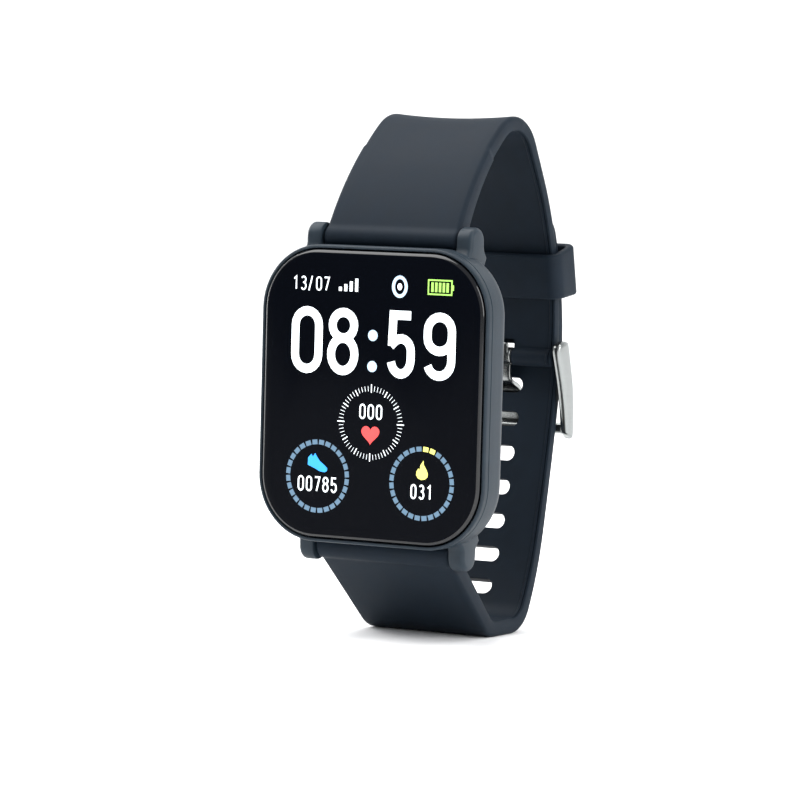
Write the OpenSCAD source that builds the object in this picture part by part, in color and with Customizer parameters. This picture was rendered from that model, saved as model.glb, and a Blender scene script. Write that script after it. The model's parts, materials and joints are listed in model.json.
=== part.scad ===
// Smartwatch on a buckled silicone strap. The display faces -Y, +X is to the viewer's right, +Z is up.
// The origin is the middle of the flat under the strap that the watch stands on.

/* [Case] */
// Width of the case across the wrist
case_w = 37.6; // [36:0.2:40]
// Height of the case, along the strap
case_h = 43; // [40:0.5:46]
// Radius of the case's corners, seen from the front
case_corner_r = 9.5; // [8:0.5:11]
// Depth from the glass to the back edge of the case
case_d = 9.2; // [9:0.1:10]
// Thickness of the cover glass
glass_t = 1.0; // [0.8:0.1:1.2]
// Width of the display panel
display_w = 30; // [28:0.5:30]
// Height of the display panel
display_h = 35; // [32:0.5:35]

/* [Strap] */
// Width of the strap between the lugs
lug_gap = 22.6; // [22.2:0.1:23]
// Width of the strap over the top and bottom bends
bend_w = 20.8; // [20:0.2:21.6]
// Thickness of the strap where it leaves the case
root_t = 2.7; // [2.2:0.1:3]
// Thickness of the strap where the two halves lie on each other
lap_t = 1.8; // [1.6:0.1:2]
// Gap between the two halves where they lie on each other
lap_gap = 0.15; // [0.1:0.05:0.3]
// Distance from slot to slot
slot_pitch = 5.2; // [4.8:0.1:5.6]
// Length of a slot across the strap
slot_l = 8; // [7:0.2:8.4]
// Height of a slot along the strap
slot_h = 2.3; // [2.1:0.1:2.5]
// Number of slots in the lower half
slot_count = 10; // [8:1:11]
// Height of the keeper along the strap
keeper_h = 7; // [6:0.2:7.6]
// Thickness of the keeper's walls
keeper_t = 1.2; // [1:0.1:1.4]

/* [Buckle] */
// Width across the outside of the buckle
buckle_w = 23.6; // [23.4:0.1:24]
// Thickness of a buckle arm
arm_t = 1.55; // [1.4:0.05:1.7]
// Radius of the buckle's outer bar
bar_r = 0.85; // [0.8:0.05:1]
// Width of the tongue
tongue_w = 5.2; // [4.4:0.2:5.4]
// Thickness of the tongue
tongue_t = 0.8; // [0.7:0.05:0.9]

/* [Hidden] */
$fn = 48;

// Everything is laid out in the case's own frame: y = 0 on the glass, z = 0 at the middle of the case.

// Spring bars at the lugs
bar_y = 6.0;
bar_z = case_h / 2 + 1.1;
lug_r = 2.05;
lug_w = 2.5;
tube_r = 0.9;
bar_play = 0.05;

// The strap's middle line is a chain of [length, turn in degrees] pieces
upper_heading = 65;
upper_run = [[20.5, -28], [11, -96], [5.5, 0], [28.2, -34.8]];
upper_start = [bar_y, bar_z, upper_heading];
foot_t = 2.3;

// Moves [y, z, heading] along one piece of the chain
function ahead(p, piece) =
    let (turned = p[2] + piece[1])
    piece[1] == 0
        ? [p[0] + piece[0] * cos(p[2]), p[1] + piece[0] * sin(p[2]), p[2]]
        : let (r = piece[0] * 180 / PI / piece[1])
            [p[0] + r * (sin(turned) - sin(p[2])), p[1] - r * (cos(turned) - cos(p[2])), turned];

function run_length(run, n = 0) = n == len(run) ? 0 : run[n][0] + run_length(run, n + 1);

// Where the chain is after a distance s
function along(p, run, s, n = 0) =
    s <= run[n][0] || n == len(run) - 1
        ? ahead(p, [s, run[n][1] * s / run[n][0]])
        : along(ahead(p, run[n]), run, s - run[n][0], n + 1);

// A point beside the chain: d is the distance outwards, away from the wrist
function beside(p, d) = [p[0] - d * sin(p[2]), p[1] + d * cos(p[2])];

upper_l = run_length(upper_run);
lap_run = upper_run[len(upper_run) - 1];
lap_r = -lap_run[0] * 180 / PI / lap_run[1];
upper_end = along(upper_start, upper_run, upper_l);
lap_centre = beside(upper_end, -lap_r);

// The lower half starts at the tip of its tail, outside the upper half and concentric with it
tail_r = lap_r + lap_t + lap_gap;
tail_turn = 28.3;
tail_heading = upper_end[2] + tail_turn;
tail_tip = [
    lap_centre[0] - tail_r * sin(tail_heading),
    lap_centre[1] + tail_r * cos(tail_heading),
    tail_heading
];
tail_l = tail_r * tail_turn * PI / 180;
foot_turn = 42.5;
foot_bend_l = 3.4;
back_run = [[tail_l, -tail_turn], [6, -7], [21, -4], [11, -14], [5.2, -61.2]];
back_end = along(tail_tip, back_run, run_length(back_run));

// The flat foot and the front run close the loop at the lower spring bar
front_heading = back_end[2] - foot_turn;
bent = ahead([0, 0, back_end[2]], [foot_bend_l, -foot_turn]);
front_l = (-bar_z - back_end[1] - bent[1]) / sin(front_heading);
foot_l = back_end[0] + bent[0] + front_l * cos(front_heading) - bar_y;
lower_run = concat(back_run, [[foot_l, 0], [foot_bend_l, -foot_turn], [front_l, 0]]);
lower_l = run_length(lower_run);
foot_mid = along(tail_tip, lower_run, run_length(back_run) + foot_l / 2);
stand = beside(foot_mid, foot_t / 2);

// Thickness along each half
function upper_t(s) =
    s > upper_l - lap_run[0] ? lap_t : root_t + (lap_t - root_t) * s / (upper_l - lap_run[0]);
lower_thin_l = tail_l + 18;
foot_s = run_length(back_run);
function lower_t(s) =
    s < lower_thin_l ? lap_t
    : s < foot_s ? lap_t + (foot_t - lap_t) * (s - lower_thin_l) / (foot_s - lower_thin_l)
    : s < foot_s + foot_l ? foot_t
    : foot_t + (root_t - foot_t) * (s - foot_s - foot_l) / (lower_l - foot_s - foot_l);

// Widths, and how far up and down the two halves reach
bend_y = 21;
upper_top_z = 41.2;
lower_bottom_z = 36.6;
upper_end_w = 20;
tail_w = 18.6;
strap_end_w = lug_gap - 0.5;

// The buckle's bar sits in the end of the upper half, a little towards the wrist
pin_inset = 0.5;
pin_tube_r = 0.75;
end_r = 1.45;
pin = beside(upper_end, -pin_inset);
used_slot_s = tail_l + 4.4;
first_slot_s = used_slot_s - 3 * slot_pitch;
keeper_turn = 15.6;
notch_w = 6.4;
notch_l = 2.6;

// The outer bar of the buckle rests outside the lower half
outer_bar_s = used_slot_s + 5.85;
outer_bar_at = beside(along(tail_tip, lower_run, outer_bar_s), lap_t / 2 + 0.15 + bar_r);

// Layers of the case, as distances back from the glass
rim_y = 0.5;
ledge_y = glass_t + 0.15;
side_y = 5.4;
back_in = 2.4;
tray_y = 2.7;
board_y = 3.5;
board_t = 0.8;
seal_y = 8.15;
cover_y = 8.35;
bump_y = 9.7;
back_y = 10.3;
wall = 3.5;
sensor_r = 6.2;
bump_r = 12;
contact_x = 2.6;
contact_z = -14.5;
motor_x = 9.8;
motor_z = -9.5;
motor_r = 4;

// ---- Shared shapes

module placed() {
    translate([0, -stand[0], -stand[1]]) children();
}

// Draws a front-view outline as a slab from y0 back to y1
module slab(y0, y1) {
    translate([0, y1, 0]) rotate([90, 0, 0]) linear_extrude(y1 - y0) children();
}

// Draws a side-view outline, in y and z, across the whole width w
module across(w) {
    rotate([90, 0, 90]) linear_extrude(w, center = true) children();
}

module rounded(w, h, r) {
    square([w - 2 * r, h], center = true);
    square([w, h - 2 * r], center = true);
    for (x = [-1, 1], z = [-1, 1]) translate([x * (w / 2 - r), z * (h / 2 - r)]) circle(r);
}

module ring(w, h, r, t) {
    difference() {
        rounded(w, h, r);
        rounded(w - 2 * t, h - 2 * t, r - t);
    }
}

module disc(r, x, z, y0, y1) {
    slab(y0, y1) translate([x, z]) circle(r);
}

module block(x, z, w, h, y0, y1) {
    slab(y0, y1) translate([x, z]) square([w, h], center = true);
}

// A rod along X through a point of the side view
module rod(at, r, x0, x1) {
    translate([x0, at[0], at[1]]) rotate([0, 90, 0]) cylinder(r = r, h = x1 - x0);
}

// A length of strap as a side-view outline, sampled every few degrees of bend
function samples(run, every = 3) = [
    for (n = 0, s = 0; n < len(run); s = s + run[n][0], n = n + 1)
        let (parts = max(1, ceil(abs(run[n][1]) / every)))
        for (k = [(n == 0 ? 0 : 1):parts]) s + run[n][0] * k / parts
];

module strap_outline(start, run, half_t) {
    s = samples(run);
    outer = [for (a = s) beside(along(start, run, a), half_t(a))];
    inner = [for (k = [len(s) - 1:-1:0]) beside(along(start, run, s[k]), -half_t(s[k]))];
    polygon(concat(outer, inner));
}

// The strap narrows away from the lugs: one front-view outline for the run in front of the
// bend and another for the run behind it
module narrowed(sign, far_z, back_z, back_w) {
    intersection() {
        union() children();
        union() {
            slab(0, bend_y) polygon([
                [-strap_end_w / 2, sign * (bar_z - 3)], [strap_end_w / 2, sign * (bar_z - 3)],
                [strap_end_w / 2, sign * bar_z], [bend_w / 2, sign * far_z],
                [-bend_w / 2, sign * far_z], [-strap_end_w / 2, sign * bar_z]
            ]);
            slab(bend_y, 60) polygon([
                [-back_w / 2, sign * back_z], [back_w / 2, sign * back_z],
                [bend_w / 2, sign * far_z], [-bend_w / 2, sign * far_z]
            ]);
        }
    }
}

module slot_cut(p) {
    translate([0, p[0], p[1]]) rotate([p[2], 0, 0]) {
        cube([slot_l - slot_h, slot_h, 6], center = true);
        for (x = [-1, 1]) translate([x * (slot_l - slot_h) / 2, 0, 0])
            cylinder(r = slot_h / 2, h = 6, center = true);
    }
}

// ---- Case

module case_body() {
    intersection() {
        slab(rim_y, case_d) rounded(case_w, case_h, case_corner_r);
        across(case_w + 2) tapered_back(case_h);
        rotate([0, 90, 0]) across(case_h + 2) tapered_back(case_w);
    }
}

// Depth against height: straight sides that lean in towards the back
module tapered_back(h) {
    polygon([
        [0, -h / 2], [side_y, -h / 2], [case_d, back_in - h / 2],
        [case_d, h / 2 - back_in], [side_y, h / 2], [0, h / 2]
    ]);
}

module lugs() {
    for (x = [-1, 1], z = [-1, 1]) translate([x * (lug_gap + lug_w) / 2, 0, 0]) across(lug_w) {
        translate([bar_y, z * bar_z]) circle(lug_r);
        translate([bar_y - lug_r, z > 0 ? bar_z - 5 : -bar_z]) square([2 * lug_r, 5]);
    }
}

module mid_frame() {
    color("#3d4852") placed() difference() {
        union() {
            case_body();
            lugs();
        }
        for (z = [-1, 1]) {
            rod([bar_y, z * bar_z], lug_r + 0.1, -lug_gap / 2, lug_gap / 2);
            rod([bar_y, z * bar_z], tip_neck_r + 0.04, -lug_gap / 2 - 2, lug_gap / 2 + 2);
        }
        slab(0, ledge_y) rounded(glass_w + 0.2, glass_h + 0.2, glass_corner_r);
        slab(ledge_y, case_d + 1) rounded(pocket_w, pocket_h, pocket_corner_r);
        slab(seal_y, case_d + 1) rounded(cover_w + 0.2, cover_h + 0.2, cover_corner_r);
    }
}

glass_w = case_w - 1.2;
glass_h = case_h - 1.2;
glass_corner_r = case_corner_r - 0.5;
pocket_w = case_w - 2 * wall;
pocket_h = case_h - 2 * wall - 0.4;
pocket_corner_r = case_corner_r - wall;
cover_w = case_w - 6;
cover_h = case_h - 6;
cover_corner_r = case_corner_r - 3;

module cover_glass() {
    color("#0a0d12") placed() slab(0, glass_t) rounded(glass_w, glass_h, glass_corner_r - 0.1);
}

module display_gasket() {
    color("#15181c") placed() slab(glass_t, ledge_y)
        ring(glass_w - 0.4, glass_h - 0.4, glass_corner_r - 0.3, 0.9);
}

module display_panel() {
    color("#1b2a3a") placed() slab(glass_t, glass_t + 1.5) rounded(display_w, display_h, 5.6);
}

// The ribbon leaves the top of the panel, folds back and lands on the board
flex_w = 8;
flex_x = -2;
module display_flex() {
    top = display_h / 2;
    color("#b5792f") placed() translate([flex_x, 0, 0]) across(flex_w) {
        translate([glass_t + 1.2, top]) square([part_y + 0.2 - glass_t - 1.2, 0.2]);
        translate([part_y, board_top - 2]) square([0.2, top + 0.2 - board_top + 2]);
    }
}

// ---- Inside the case

board_w = 27.4;
board_top = 16.2;
board_bottom = 2.6;
screw_x = 12.4;
screw_z = 9.5;
screw_r = 0.5;
tray_w = pocket_w - 1.2;
tray_h = pocket_h - 0.8;
tray_wall = 0.8;

module inner_tray() {
    color("#23272b") placed() difference() {
        union() {
            slab(tray_y, board_y - 0.1) rounded(tray_w, tray_h, pocket_corner_r - 0.6);
            slab(tray_y, 7.9) ring(tray_w, tray_h, pocket_corner_r - 0.6, tray_wall);
        }
        block(flex_x, tray_h / 2, flex_w + 0.6, 3.4, 0, 9);
        for (x = [-1, 1]) disc(screw_r + 0.02, x * screw_x, screw_z, tray_y + 0.2, 9);
    }
}

module main_board() {
    color("#1d5a36") placed() difference() {
        slab(board_y, board_y + board_t) translate([0, (board_top + board_bottom) / 2])
            rounded(board_w, board_top - board_bottom, 5);
        for (x = [-1, 1]) disc(screw_r + 0.1, x * screw_x, screw_z, 0, 9);
    }
}

// Parts soldered to the back of the board
part_y = board_y + board_t;

module processor_chip() {
    color("#202225") placed() block(-6.5, 7, 6, 6, part_y, part_y + 0.9);
}

module memory_chip() {
    color("#2a2c30") placed() block(-7, 12.1, 5, 4, part_y, part_y + 0.8);
}

module motion_sensor() {
    color("#3a3d42") placed() block(-1.2, 5.2, 2.5, 3, part_y, part_y + 0.8);
}

module radio_chip() {
    color("#26282c") placed() block(6, 9.2, 4.5, 4.5, part_y, part_y + 0.7);
}

module shield_can() {
    color("#b9bcc0") placed() difference() {
        block(6, 9.2, 8.5, 9.5, part_y, part_y + 1.4);
        block(6, 9.2, 8.1, 9.1, part_y - 1, part_y + 1.2);
    }
}

module board_screws() {
    color("#9aa0a6") placed() for (x = [-1, 1]) {
        disc(screw_r, x * screw_x, screw_z, tray_y + 0.25, part_y);
        disc(1.0, x * screw_x, screw_z, part_y, part_y + 0.6);
    }
}

module antenna() {
    color("#c9a24a") placed() translate([-tray_w / 2 - 0.3, 3.6, -7]) cube([0.25, 3, 14]);
}

module battery() {
    color("#9fa7ad") placed() slab(board_y, 7.2) translate([-3.9, -6.4]) rounded(18.6, 17, 1.2);
}

module motor_can() {
    color("#a8adb2") placed() difference() {
        disc(motor_r, motor_x, motor_z, board_y, board_y + 2.7);
        disc(motor_r - 0.25, motor_x, motor_z, board_y + 0.25, board_y + 2.45);
    }
}

module motor_shaft() {
    color("#d0d3d6") placed() disc(0.4, motor_x, motor_z, board_y + 0.25, board_y + 2.45);
}

// Half a disc, so that it shakes as it turns
module motor_weight() {
    color("#6f6a5c") placed() slab(board_y + 0.6, board_y + 2.1) translate([motor_x, motor_z])
        difference() {
            union() {
                intersection() {
                    circle(motor_r - 0.6);
                    translate([-motor_r, 0]) square([2 * motor_r, motor_r]);
                }
                circle(1);
            }
            circle(0.45);
        }
}

// ---- Back of the case

module back_cover() {
    color("#16191d") placed() difference() {
        union() {
            slab(cover_y, bump_y) rounded(cover_w, cover_h, cover_corner_r - 0.1);
            disc(bump_r, 0, 0, bump_y, back_y);
        }
        disc(sensor_r + 0.05, 0, 0, 0, back_y + 1);
        for (x = [-1, 1]) disc(1.0, x * contact_x, contact_z, 0, back_y);
    }
}

module back_seal() {
    color("#7a3b2e") placed() slab(seal_y, cover_y)
        ring(cover_w - 0.2, cover_h - 0.2, cover_corner_r - 0.2, 0.4);
}

module sensor_board() {
    color("#1d5a36") placed() disc(sensor_r - 0.2, 0, 0, 7.5, 8.1);
}

module sensor_leds() {
    color("#7fe08a") placed() for (z = [-1, 1]) block(0, z * 3.4, 1.6, 0.9, 8.1, 8.7);
}

module photodiode() {
    color("#1a2b3c") placed() block(0, 0, 2.6, 2.6, 8.1, 8.6);
}

module sensor_window() {
    color("#2b1f24") placed() disc(sensor_r, 0, 0, 9.0, back_y - 0.05);
}

module charge_contacts() {
    color("#d9b25a") placed() for (x = [-1, 1])
        disc(1.0, x * contact_x, contact_z, cover_y - 0.2, bump_y + 0.1);
}

module charge_magnets() {
    color("#8e9296") placed() for (x = [-1, 1]) disc(1.8, x * 8, contact_z, 7.3, 8.3);
}

// ---- Spring bars: a tube, a coil spring and two sprung tips each

tip_neck_r = 0.42;
tube_end = 9.6;
tip_out = 12.7;
spring_half = 5.8;
bore_r = 0.62;
pin_neck_r = 0.33;
pin_bore_r = 0.52;
pin_tube_end = 8.6;
pin_tip_out = 11.2;
pin_spring_half = 5;

module bar_tube(at, r, bore, neck, half) {
    difference() {
        rod(at, r, -half, half);
        rod(at, bore, -half + 0.6, half - 0.6);
        rod(at, neck + 0.04, -half - 1, half + 1);
    }
}

// side is -1 for the left tip and 1 for the right one
module bar_tip(at, side, bore, neck, plunger_in, plunger_out, out) {
    lo = side > 0 ? plunger_in : -plunger_out;
    rod(at, bore - 0.04, lo, lo + plunger_out - plunger_in);
    rod(at, neck, side > 0 ? plunger_out : -out, side > 0 ? out : -plunger_out);
}

module lug_tip(at, side) {
    bar_tip(at, side, bore_r, tip_neck_r, spring_half, tube_end - 0.65, tip_out);
}

module pin_tip(side) {
    bar_tip(pin, side, pin_bore_r, pin_neck_r, pin_spring_half, pin_tube_end - 0.65, pin_tip_out);
}

// A round wire wound about a line along X
module coil(at, r, wire_r, half, turns) {
    rings = turns * 10;
    sides = 5;
    points = [
        for (k = [0:rings], j = [0:sides - 1])
            let (
                turn = 360 * turns * k / rings,
                out = r + wire_r * cos(360 * j / sides),
                x = -half + wire_r + (2 * half - 2 * wire_r) * k / rings + wire_r * sin(360 * j / sides)
            )
            [x, at[0] + out * cos(turn), at[1] + out * sin(turn)]
    ];
    sides_of = [
        for (k = [0:rings - 1], j = [0:sides - 1])
            let (a = k * sides + j, b = k * sides + (j + 1) % sides)
            for (f = [[a, b, b + sides], [a, b + sides, a + sides]]) f
    ];
    first = [for (j = [sides - 1:-1:0]) j];
    last = [for (j = [0:sides - 1]) rings * sides + j];
    polyhedron(points, concat(sides_of, [first, last]));
}

upper_bar_at = [bar_y, bar_z];
lower_bar_at = [bar_y, -bar_z];

module upper_bar_tube() {
    color("#b4b8bc") placed() bar_tube(upper_bar_at, tube_r, bore_r, tip_neck_r, tube_end);
}

module upper_bar_spring() {
    color("#8d9195") placed() coil(upper_bar_at, bore_r - 0.16, 0.1, spring_half - 0.02, 11);
}

module upper_bar_tip_left() {
    color("#c6cacd") placed() lug_tip(upper_bar_at, -1);
}

module upper_bar_tip_right() {
    color("#c6cacd") placed() lug_tip(upper_bar_at, 1);
}

module lower_bar_tube() {
    color("#b4b8bc") placed() bar_tube(lower_bar_at, tube_r, bore_r, tip_neck_r, tube_end);
}

module lower_bar_spring() {
    color("#8d9195") placed() coil(lower_bar_at, bore_r - 0.16, 0.1, spring_half - 0.02, 11);
}

module lower_bar_tip_left() {
    color("#c6cacd") placed() lug_tip(lower_bar_at, -1);
}

module lower_bar_tip_right() {
    color("#c6cacd") placed() lug_tip(lower_bar_at, 1);
}

module buckle_bar_tube() {
    color("#b4b8bc") placed() bar_tube(pin, pin_tube_r, pin_bore_r, pin_neck_r, pin_tube_end);
}

module buckle_bar_spring() {
    color("#8d9195") placed() coil(pin, pin_bore_r - 0.15, 0.09, pin_spring_half - 0.02, 11);
}

module buckle_bar_tip_left() {
    color("#c6cacd") placed() pin_tip(-1);
}

module buckle_bar_tip_right() {
    color("#c6cacd") placed() pin_tip(1);
}

// ---- Strap

module upper_strap() {
    color("#2a323c") placed() difference() {
        union() {
            narrowed(1, upper_top_z, pin[1] - end_r, upper_end_w)
                across(strap_end_w) strap_outline(upper_start, upper_run, function (s) upper_t(s) / 2);
            rod(upper_bar_at, root_t / 2 + 0.4, -strap_end_w / 2, strap_end_w / 2);
            rod(pin, end_r, -upper_end_w / 2, upper_end_w / 2);
        }
        rod(upper_bar_at, tube_r + bar_play, -20, 20);
        rod(pin, pin_tube_r + bar_play, -20, 20);
        translate([0, pin[0], pin[1] + notch_l / 2 - 1.6]) cube([notch_w, 8, notch_l + 3.2], center = true);
    }
}

module lower_strap() {
    color("#2a323c") placed() difference() {
        union() {
            narrowed(-1, lower_bottom_z, -tail_tip[1], tail_w)
                across(strap_end_w) strap_outline(tail_tip, lower_run, function (s) lower_t(s) / 2);
            rod(lower_bar_at, root_t / 2 + 0.4, -strap_end_w / 2, strap_end_w / 2);
        }
        rod(lower_bar_at, tube_r + bar_play, -20, 20);
        for (k = [0:slot_count - 1]) slot_cut(along(tail_tip, lower_run, first_slot_s + k * slot_pitch));
        tail_corners();
    }
}

// Rounds the two corners of the tail's tip
module tail_corners() {
    r = 5;
    for (x = [-1, 1]) slab(20, 60) difference() {
        translate([x * (tail_w / 2 - r / 2 + 0.5), tail_tip[1] - r / 2 + 1])
            square([r + 1, r + 2], center = true);
        translate([x * (tail_w / 2 - r), tail_tip[1] - r]) circle(r);
    }
}

// The keeper is bent to the same centre as the strap inside it, so it slides along the strap
module keeper() {
    sweep = keeper_h / lap_r * 180 / PI;
    start = upper_end[2] + 90 + keeper_turn - sweep / 2;
    inside = lap_r - lap_t / 2 - 0.3;
    outside = tail_r + lap_t / 2 + 0.6;
    mouth = upper_end_w + 0.9;
    color("#2a323c") placed() translate([0, lap_centre[0], lap_centre[1]]) rotate([start, 0, 0])
        rotate([0, 90, 0]) rotate([0, 0, 90]) rotate_extrude(angle = sweep, $fn = 360) difference() {
            translate([inside - keeper_t, -mouth / 2 - keeper_t])
                square([outside - inside + 2 * keeper_t, mouth + 2 * keeper_t]);
            translate([inside, -mouth / 2]) square([outside - inside, mouth]);
        }
}

// ---- Buckle

// An arm bows outwards from the spring bar to the outer bar
module arm_outline() {
    middle = (pin + outer_bar_at) / 2 + [0.6, 0.3];
    hull() {
        translate(pin + [0.2, 0.7]) circle(1.9, $fn = 24);
        translate(middle) circle(1.6, $fn = 24);
    }
    hull() {
        translate(middle) circle(1.6, $fn = 24);
        translate(outer_bar_at) circle(bar_r + 0.25, $fn = 24);
    }
}

module buckle_frame() {
    color("#d5d8db") placed() difference() {
        union() {
            for (x = [-1, 1]) translate([x * (buckle_w - arm_t) / 2, 0, 0]) across(arm_t) arm_outline();
            rod(outer_bar_at, bar_r, -buckle_w / 2, buckle_w / 2);
        }
        rod(pin, pin_neck_r + 0.04, -pin_tip_out - 0.1, pin_tip_out + 0.1);
    }
}

// The tongue drops from its barrel to the slot, turns out through it and runs down to the outer bar
module tongue_outline() {
    slot_at = along(tail_tip, lower_run, used_slot_s);
    rest = outer_bar_at + [bar_r + 0.05 + tongue_t / 2, 0];
    line = [
        pin + [0, -0.9],
        [pin[0] + 0.1, slot_at[1] + 1.3],
        beside(slot_at, -lap_t / 2 - 0.3) + [0, 0.5],
        beside(slot_at, lap_t / 2 + 0.6) + [0, -0.3],
        rest + [0, 0.5],
        rest + [0, -0.6]
    ];
    for (k = [1:len(line) - 1]) hull() {
        translate(line[k - 1]) circle(tongue_t / 2, $fn = 16);
        translate(line[k]) circle(tongue_t / 2, $fn = 16);
    }
}

module buckle_tongue() {
    barrel_r = 1.3;
    heel_l = 2;
    color("#d5d8db") placed() difference() {
        union() {
            rod(pin, barrel_r, -notch_w / 2 + 0.3, notch_w / 2 - 0.3);
            across(tongue_w) tongue_outline();
            translate([0, pin[0], pin[1]]) across(tongue_w) translate([-barrel_r, 0]) square([0.7, heel_l]);
        }
        rod(pin, pin_tube_r + bar_play, -10, 10);
    }
}

mid_frame();
cover_glass();
display_gasket();
display_panel();
display_flex();
inner_tray();
main_board();
processor_chip();
memory_chip();
motion_sensor();
radio_chip();
shield_can();
board_screws();
antenna();
battery();
motor_can();
motor_shaft();
motor_weight();
back_cover();
back_seal();
sensor_board();
sensor_leds();
photodiode();
sensor_window();
charge_contacts();
charge_magnets();
upper_bar_tube();
upper_bar_spring();
upper_bar_tip_left();
upper_bar_tip_right();
lower_bar_tube();
lower_bar_spring();
lower_bar_tip_left();
lower_bar_tip_right();
upper_strap();
lower_strap();
keeper();
buckle_frame();
buckle_tongue();
buckle_bar_tube();
buckle_bar_spring();
buckle_bar_tip_left();
buckle_bar_tip_right();
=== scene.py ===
import json
import bpy
from math import sin, cos, pi, radians, degrees, sqrt, hypot
from mathutils import Vector, Matrix


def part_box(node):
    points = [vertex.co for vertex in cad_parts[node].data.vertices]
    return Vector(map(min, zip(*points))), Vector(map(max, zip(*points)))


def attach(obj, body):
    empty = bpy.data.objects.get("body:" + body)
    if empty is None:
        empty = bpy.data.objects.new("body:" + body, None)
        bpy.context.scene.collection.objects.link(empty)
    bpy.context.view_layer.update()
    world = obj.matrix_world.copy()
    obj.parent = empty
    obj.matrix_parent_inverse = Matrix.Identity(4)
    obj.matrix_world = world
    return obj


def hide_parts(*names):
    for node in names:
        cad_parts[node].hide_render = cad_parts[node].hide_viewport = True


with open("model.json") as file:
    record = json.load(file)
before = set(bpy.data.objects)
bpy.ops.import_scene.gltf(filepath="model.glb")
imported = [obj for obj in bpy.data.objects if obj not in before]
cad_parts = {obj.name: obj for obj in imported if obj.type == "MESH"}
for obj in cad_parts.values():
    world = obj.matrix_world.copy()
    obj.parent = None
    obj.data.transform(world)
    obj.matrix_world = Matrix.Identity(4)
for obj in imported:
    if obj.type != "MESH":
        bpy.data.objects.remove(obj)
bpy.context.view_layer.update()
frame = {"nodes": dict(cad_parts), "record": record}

# Pieces are laid out in the case's own millimetres:
# y = 0 on the glass, z = 0 at the middle of the case.
glass_lo, glass_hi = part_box("cover_glass")
GLASS_Y = glass_lo[1]
MID_Z = (glass_lo[2] + glass_hi[2]) / 2


def at(x, y, z):
    return (x / 1000, GLASS_Y + y / 1000, MID_Z + z / 1000)


# ---- Materials

def linear(rgb):
    """A screen colour, in 0 to 255, as linear RGBA."""
    channels = [pow((c / 255 + 0.055) / 1.055, 2.4) if c > 10 else c / 255 / 12.92 for c in rgb]
    return tuple(channels) + (1.0,)


def material(name, rgb, rough=0.5, metallic=0.0, vary=0.12, scale=900, grain=0.0, grain_scale=6000,
             streak=None, spec=0.5, coat=0.0, glow=None, glow_strength=0.0, rough_vary=0.08):
    """A surface whose colour and roughness drift with noise. vary is the colour's share of drift."""
    m = bpy.data.materials.new(name)
    m.use_nodes = True
    nt = m.node_tree
    b = nt.nodes["Principled BSDF"]
    b.inputs["Metallic"].default_value = metallic
    b.inputs["Specular IOR Level"].default_value = spec
    b.inputs["Coat Weight"].default_value = coat
    b.inputs["Coat Roughness"].default_value = 0.08
    tc = nt.nodes.new("ShaderNodeTexCoord")
    mp = nt.nodes.new("ShaderNodeMapping")
    if streak:
        mp.inputs["Scale"].default_value = streak
    nt.links.new(tc.outputs["Object"], mp.inputs["Vector"])
    n = nt.nodes.new("ShaderNodeTexNoise")
    n.inputs["Scale"].default_value = scale
    n.inputs["Detail"].default_value = 4
    nt.links.new(mp.outputs["Vector"], n.inputs["Vector"])
    r = nt.nodes.new("ShaderNodeValToRGB")
    base = linear(rgb)
    r.color_ramp.elements[0].position = 0.3
    r.color_ramp.elements[1].position = 0.7
    r.color_ramp.elements[0].color = tuple(c * (1 - vary) for c in base[:3]) + (1,)
    r.color_ramp.elements[1].color = tuple(min(1, c * (1 + vary)) for c in base[:3]) + (1,)
    nt.links.new(n.outputs["Fac"], r.inputs["Fac"])
    nt.links.new(r.outputs["Color"], b.inputs["Base Color"])
    mr = nt.nodes.new("ShaderNodeMapRange")
    mr.inputs["To Min"].default_value = max(0.02, rough * (1 - rough_vary))
    mr.inputs["To Max"].default_value = min(1, rough * (1 + rough_vary))
    nt.links.new(n.outputs["Fac"], mr.inputs["Value"])
    nt.links.new(mr.outputs["Result"], b.inputs["Roughness"])
    if grain:
        g = nt.nodes.new("ShaderNodeTexNoise")
        g.inputs["Scale"].default_value = grain_scale
        g.inputs["Detail"].default_value = 3
        nt.links.new(mp.outputs["Vector"], g.inputs["Vector"])
        bump = nt.nodes.new("ShaderNodeBump")
        bump.inputs["Strength"].default_value = grain
        bump.inputs["Distance"].default_value = 0.00005
        nt.links.new(g.outputs["Fac"], bump.inputs["Height"])
        nt.links.new(bump.outputs["Normal"], b.inputs["Normal"])
    if glow:
        b.inputs["Emission Color"].default_value = linear(glow)
        b.inputs["Emission Strength"].default_value = glow_strength
    return m


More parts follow.
